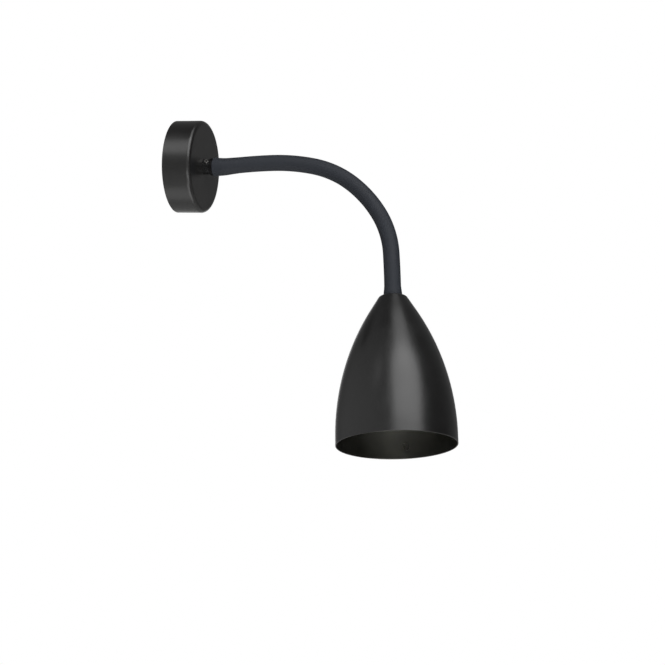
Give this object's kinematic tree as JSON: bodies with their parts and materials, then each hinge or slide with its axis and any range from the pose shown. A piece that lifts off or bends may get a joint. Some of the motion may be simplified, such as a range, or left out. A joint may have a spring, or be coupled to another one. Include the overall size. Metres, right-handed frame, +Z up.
{
  "type": "gooseneck wall sconce",
  "caption": "Wall lamp with a drum canopy, a flexible sleeved neck that bends and swivels, and a bullet shade over a screw-cap lamp.",
  "frame": {"origin": "on the wall plane, at the centre of the canopy's back and of the wall screw slots", "axes": "+X out of the wall along the canopy's axis, +Z up, +Y to the side; the neck is bent in the XZ plane"},
  "size_m": [0.3324, 0.1222, 0.3586],
  "materials": {
    "canopy_paint": "satin black powder coat",
    "shade_paint": "satin black powder coat",
    "sleeve_rubber": "smooth matt slate-grey rubber",
    "bushing_black": "satin black",
    "fitting_black": "black, blackened steel",
    "black_screw": "blackened steel, semi-gloss",
    "zinc_steel": "bright zinc plate",
    "conduit_steel": "plain spring steel",
    "brass": "plain turned brass",
    "tinned_copper": "tin plated",
    "terminal_plastic": "natural white moulding",
    "holder_plastic": "satin black moulding",
    "holder_ceramic": "glazed white",
    "cable_jacket": "off-white soft jacket",
    "wire_brown": "smooth insulation",
    "wire_blue": "smooth insulation",
    "wire_green_yellow": "smooth striped insulation",
    "bulb_cap_nickel": "nickel plated, bright",
    "bulb_insulator_black": "moulded",
    "bulb_plastic": "satin white moulding",
    "bulb_opal": "opal, satin"
  },
  "bodies": {
    "canopy": {"wall_bracket": "zinc_steel", "canopy_cup": "canopy_paint", "canopy_screw": "black_screw", "neck_bushing": "bushing_black", "bushing_set_screw": "black_screw", "bushing_washer": "zinc_steel", "bushing_lock_nut": "zinc_steel", "terminal_block": "terminal_plastic", "terminal_tubes": "brass", "terminal_screws": "zinc_steel", "terminal_block_screw": "zinc_steel", "earth_lug": "tinned_copper", "earth_screw": "zinc_steel", "wire_live": "wire_brown", "wire_neutral": "wire_blue", "wire_earth": "wire_green_yellow"},
    "neck_01": {"neck_root_fitting": "fitting_black", "neck_conduit_01": "conduit_steel", "neck_sleeve": "sleeve_rubber", "neck_cable": "cable_jacket"},
    "neck_02": {"neck_conduit_02": "conduit_steel"},
    "neck_03": {"neck_conduit_03": "conduit_steel"},
    "neck_04": {"neck_conduit_04": "conduit_steel"},
    "neck_05": {"neck_conduit_05": "conduit_steel"},
    "neck_06": {"neck_conduit_06": "conduit_steel"},
    "neck_07": {"neck_conduit_07": "conduit_steel"},
    "neck_08": {"neck_conduit_08": "conduit_steel"},
    "neck_09": {"neck_conduit_09": "conduit_steel"},
    "neck_10": {"neck_conduit_10": "conduit_steel"},
    "neck_11": {"neck_conduit_11": "conduit_steel"},
    "neck_12": {"neck_conduit_12": "conduit_steel"},
    "neck_13": {"neck_conduit_13": "conduit_steel"},
    "neck_14": {"neck_conduit_14": "conduit_steel"},
    "neck_15": {"neck_conduit_15": "conduit_steel"},
    "neck_16": {"neck_conduit_16": "conduit_steel"},
    "neck_17": {"neck_conduit_17": "conduit_steel"},
    "neck_18": {"neck_conduit_18": "conduit_steel"},
    "shade_head": {"neck_conduit_19": "conduit_steel", "neck_tip_fitting": "fitting_black", "shade_nipple": "brass", "shade": "shade_paint", "shade_washer": "zinc_steel", "shade_nut": "zinc_steel", "holder_cap": "holder_plastic", "holder_lock_screw": "zinc_steel", "holder_shell": "holder_plastic", "holder_insert": "holder_ceramic", "holder_screw_shell": "brass", "holder_centre_contact": "brass", "holder_terminal_screws": "zinc_steel", "holder_wires": "wire_brown", "bulb_cap": "bulb_cap_nickel", "bulb_contact": "tinned_copper", "bulb_insulator": "bulb_insulator_black", "bulb_body": "bulb_plastic", "bulb_globe": "bulb_opal"}
  },
  "joints": [
    {"name": "neck_swivel", "type": "hinge", "parent": "canopy", "child": "neck_01", "pos_m": [0.03, 0, 0], "axis": [1, 0, 0], "range_deg": [-170, 170], "deforming": ["neck_cable"]},
    {"name": "neck_root_pitch", "type": "hinge", "parent": "neck_01", "child": "neck_02", "pos_m": [0.05739, 0, 0.0005], "axis": [0, -1, 0], "range_deg": [-12, 20], "deforming": ["neck_sleeve", "neck_cable"]},
    {"name": "neck_root_yaw", "type": "hinge", "parent": "neck_02", "child": "neck_03", "pos_m": [0.07335, 0, 0.00225], "axis": [-0.095, 0, 0.9955], "range_deg": [-15, 15], "deforming": ["neck_sleeve", "neck_cable"]},
    {"name": "neck_root_pitch_2", "type": "hinge", "parent": "neck_03", "child": "neck_04", "pos_m": [0.08935, 0, 0.00355], "axis": [0, -1, 0], "range_deg": [-12, 20], "deforming": ["neck_sleeve", "neck_cable"]},
    {"name": "neck_root_yaw_2", "type": "hinge", "parent": "neck_04", "child": "neck_05", "pos_m": [0.10539, 0, 0.00438], "axis": [-0.0375, 0, 0.9993], "range_deg": [-15, 15], "deforming": ["neck_sleeve", "neck_cable"]},
    {"name": "neck_root_pitch_3", "type": "hinge", "parent": "neck_05", "child": "neck_06", "pos_m": [0.12144, 0, 0.00435], "axis": [0, -1, 0], "range_deg": [-12, 20], "deforming": ["neck_sleeve", "neck_cable"]},
    {"name": "neck_root_yaw_3", "type": "hinge", "parent": "neck_06", "child": "neck_07", "pos_m": [0.13745, 0, 0.00307], "axis": [0.1193, 0, 0.9929], "range_deg": [-15, 15], "deforming": ["neck_sleeve", "neck_cable"]},
    {"name": "neck_middle_pitch", "type": "hinge", "parent": "neck_07", "child": "neck_08", "pos_m": [0.1533, 0, 0.00053], "axis": [0, 1, 0], "range_deg": [-20, 13], "deforming": ["neck_sleeve", "neck_cable"]},
    {"name": "neck_middle_yaw", "type": "hinge", "parent": "neck_08", "child": "neck_09", "pos_m": [0.16875, 0, -0.00377], "axis": [-0.3371, 0, -0.9415], "range_deg": [-15, 15], "deforming": ["neck_sleeve", "neck_cable"]},
    {"name": "neck_middle_pitch_2", "type": "hinge", "parent": "neck_09", "child": "neck_10", "pos_m": [0.18343, 0, -0.01026], "axis": [0, 1, 0], "range_deg": [-20, 13], "deforming": ["neck_sleeve", "neck_cable"]},
    {"name": "neck_middle_yaw_2", "type": "hinge", "parent": "neck_10", "child": "neck_11", "pos_m": [0.197, 0, -0.01882], "axis": [-0.5934, 0, -0.8049], "range_deg": [-15, 15], "deforming": ["neck_sleeve", "neck_cable"]},
    {"name": "neck_middle_pitch_3", "type": "hinge", "parent": "neck_11", "child": "neck_12", "pos_m": [0.20936, 0, -0.02905], "axis": [0, 1, 0], "range_deg": [-20, 13], "deforming": ["neck_sleeve", "neck_cable"]},
    {"name": "neck_middle_yaw_3", "type": "hinge", "parent": "neck_12", "child": "neck_13", "pos_m": [0.22049, 0, -0.04061], "axis": [-0.7581, 0, -0.6521], "range_deg": [-15, 15], "deforming": ["neck_sleeve", "neck_cable"]},
    {"name": "neck_tip_pitch", "type": "hinge", "parent": "neck_13", "child": "neck_14", "pos_m": [0.23026, 0, -0.05335], "axis": [0, -1, 0], "range_deg": [-16, 20], "deforming": ["neck_sleeve", "neck_cable"]},
    {"name": "neck_tip_yaw", "type": "hinge", "parent": "neck_14", "child": "neck_15", "pos_m": [0.23827, 0, -0.06725], "axis": [0.9015, 0, 0.4329], "range_deg": [-15, 15], "deforming": ["neck_sleeve", "neck_cable"]},
    {"name": "neck_tip_pitch_2", "type": "hinge", "parent": "neck_15", "child": "neck_16", "pos_m": [0.24411, 0, -0.08219], "axis": [0, -1, 0], "range_deg": [-16, 20], "deforming": ["neck_sleeve", "neck_cable"]},
    {"name": "neck_tip_yaw_2", "type": "hinge", "parent": "neck_16", "child": "neck_17", "pos_m": [0.24765, 0, -0.09784], "axis": [0.9891, 0, 0.1469], "range_deg": [-15, 15], "deforming": ["neck_sleeve", "neck_cable"]},
    {"name": "neck_tip_pitch_3", "type": "hinge", "parent": "neck_17", "child": "neck_18", "pos_m": [0.24988, 0, -0.11374], "axis": [0, -1, 0], "range_deg": [-16, 20], "deforming": ["neck_sleeve", "neck_cable"]},
    {"name": "neck_tip_yaw_3", "type": "hinge", "parent": "neck_18", "child": "shade_head", "pos_m": [0.25187, 0, -0.12967], "axis": [0.9933, 0, 0.1158], "range_deg": [-15, 15], "deforming": ["neck_sleeve", "neck_cable"]}
  ],
  "couplings": [
    {"joint": "neck_root_pitch_2", "follows": "neck_root_pitch", "ratio": 1},
    {"joint": "neck_root_yaw_2", "follows": "neck_root_yaw", "ratio": 1},
    {"joint": "neck_root_pitch_3", "follows": "neck_root_pitch", "ratio": 1},
    {"joint": "neck_root_yaw_3", "follows": "neck_root_yaw", "ratio": 1},
    {"joint": "neck_middle_pitch_2", "follows": "neck_middle_pitch", "ratio": 1},
    {"joint": "neck_middle_yaw_2", "follows": "neck_middle_yaw", "ratio": 1},
    {"joint": "neck_middle_pitch_3", "follows": "neck_middle_pitch", "ratio": 1},
    {"joint": "neck_middle_yaw_3", "follows": "neck_middle_yaw", "ratio": 1},
    {"joint": "neck_tip_pitch_2", "follows": "neck_tip_pitch", "ratio": 1},
    {"joint": "neck_tip_yaw_2", "follows": "neck_tip_yaw", "ratio": 1},
    {"joint": "neck_tip_pitch_3", "follows": "neck_tip_pitch", "ratio": 1},
    {"joint": "neck_tip_yaw_3", "follows": "neck_tip_yaw", "ratio": 1}
  ]
}
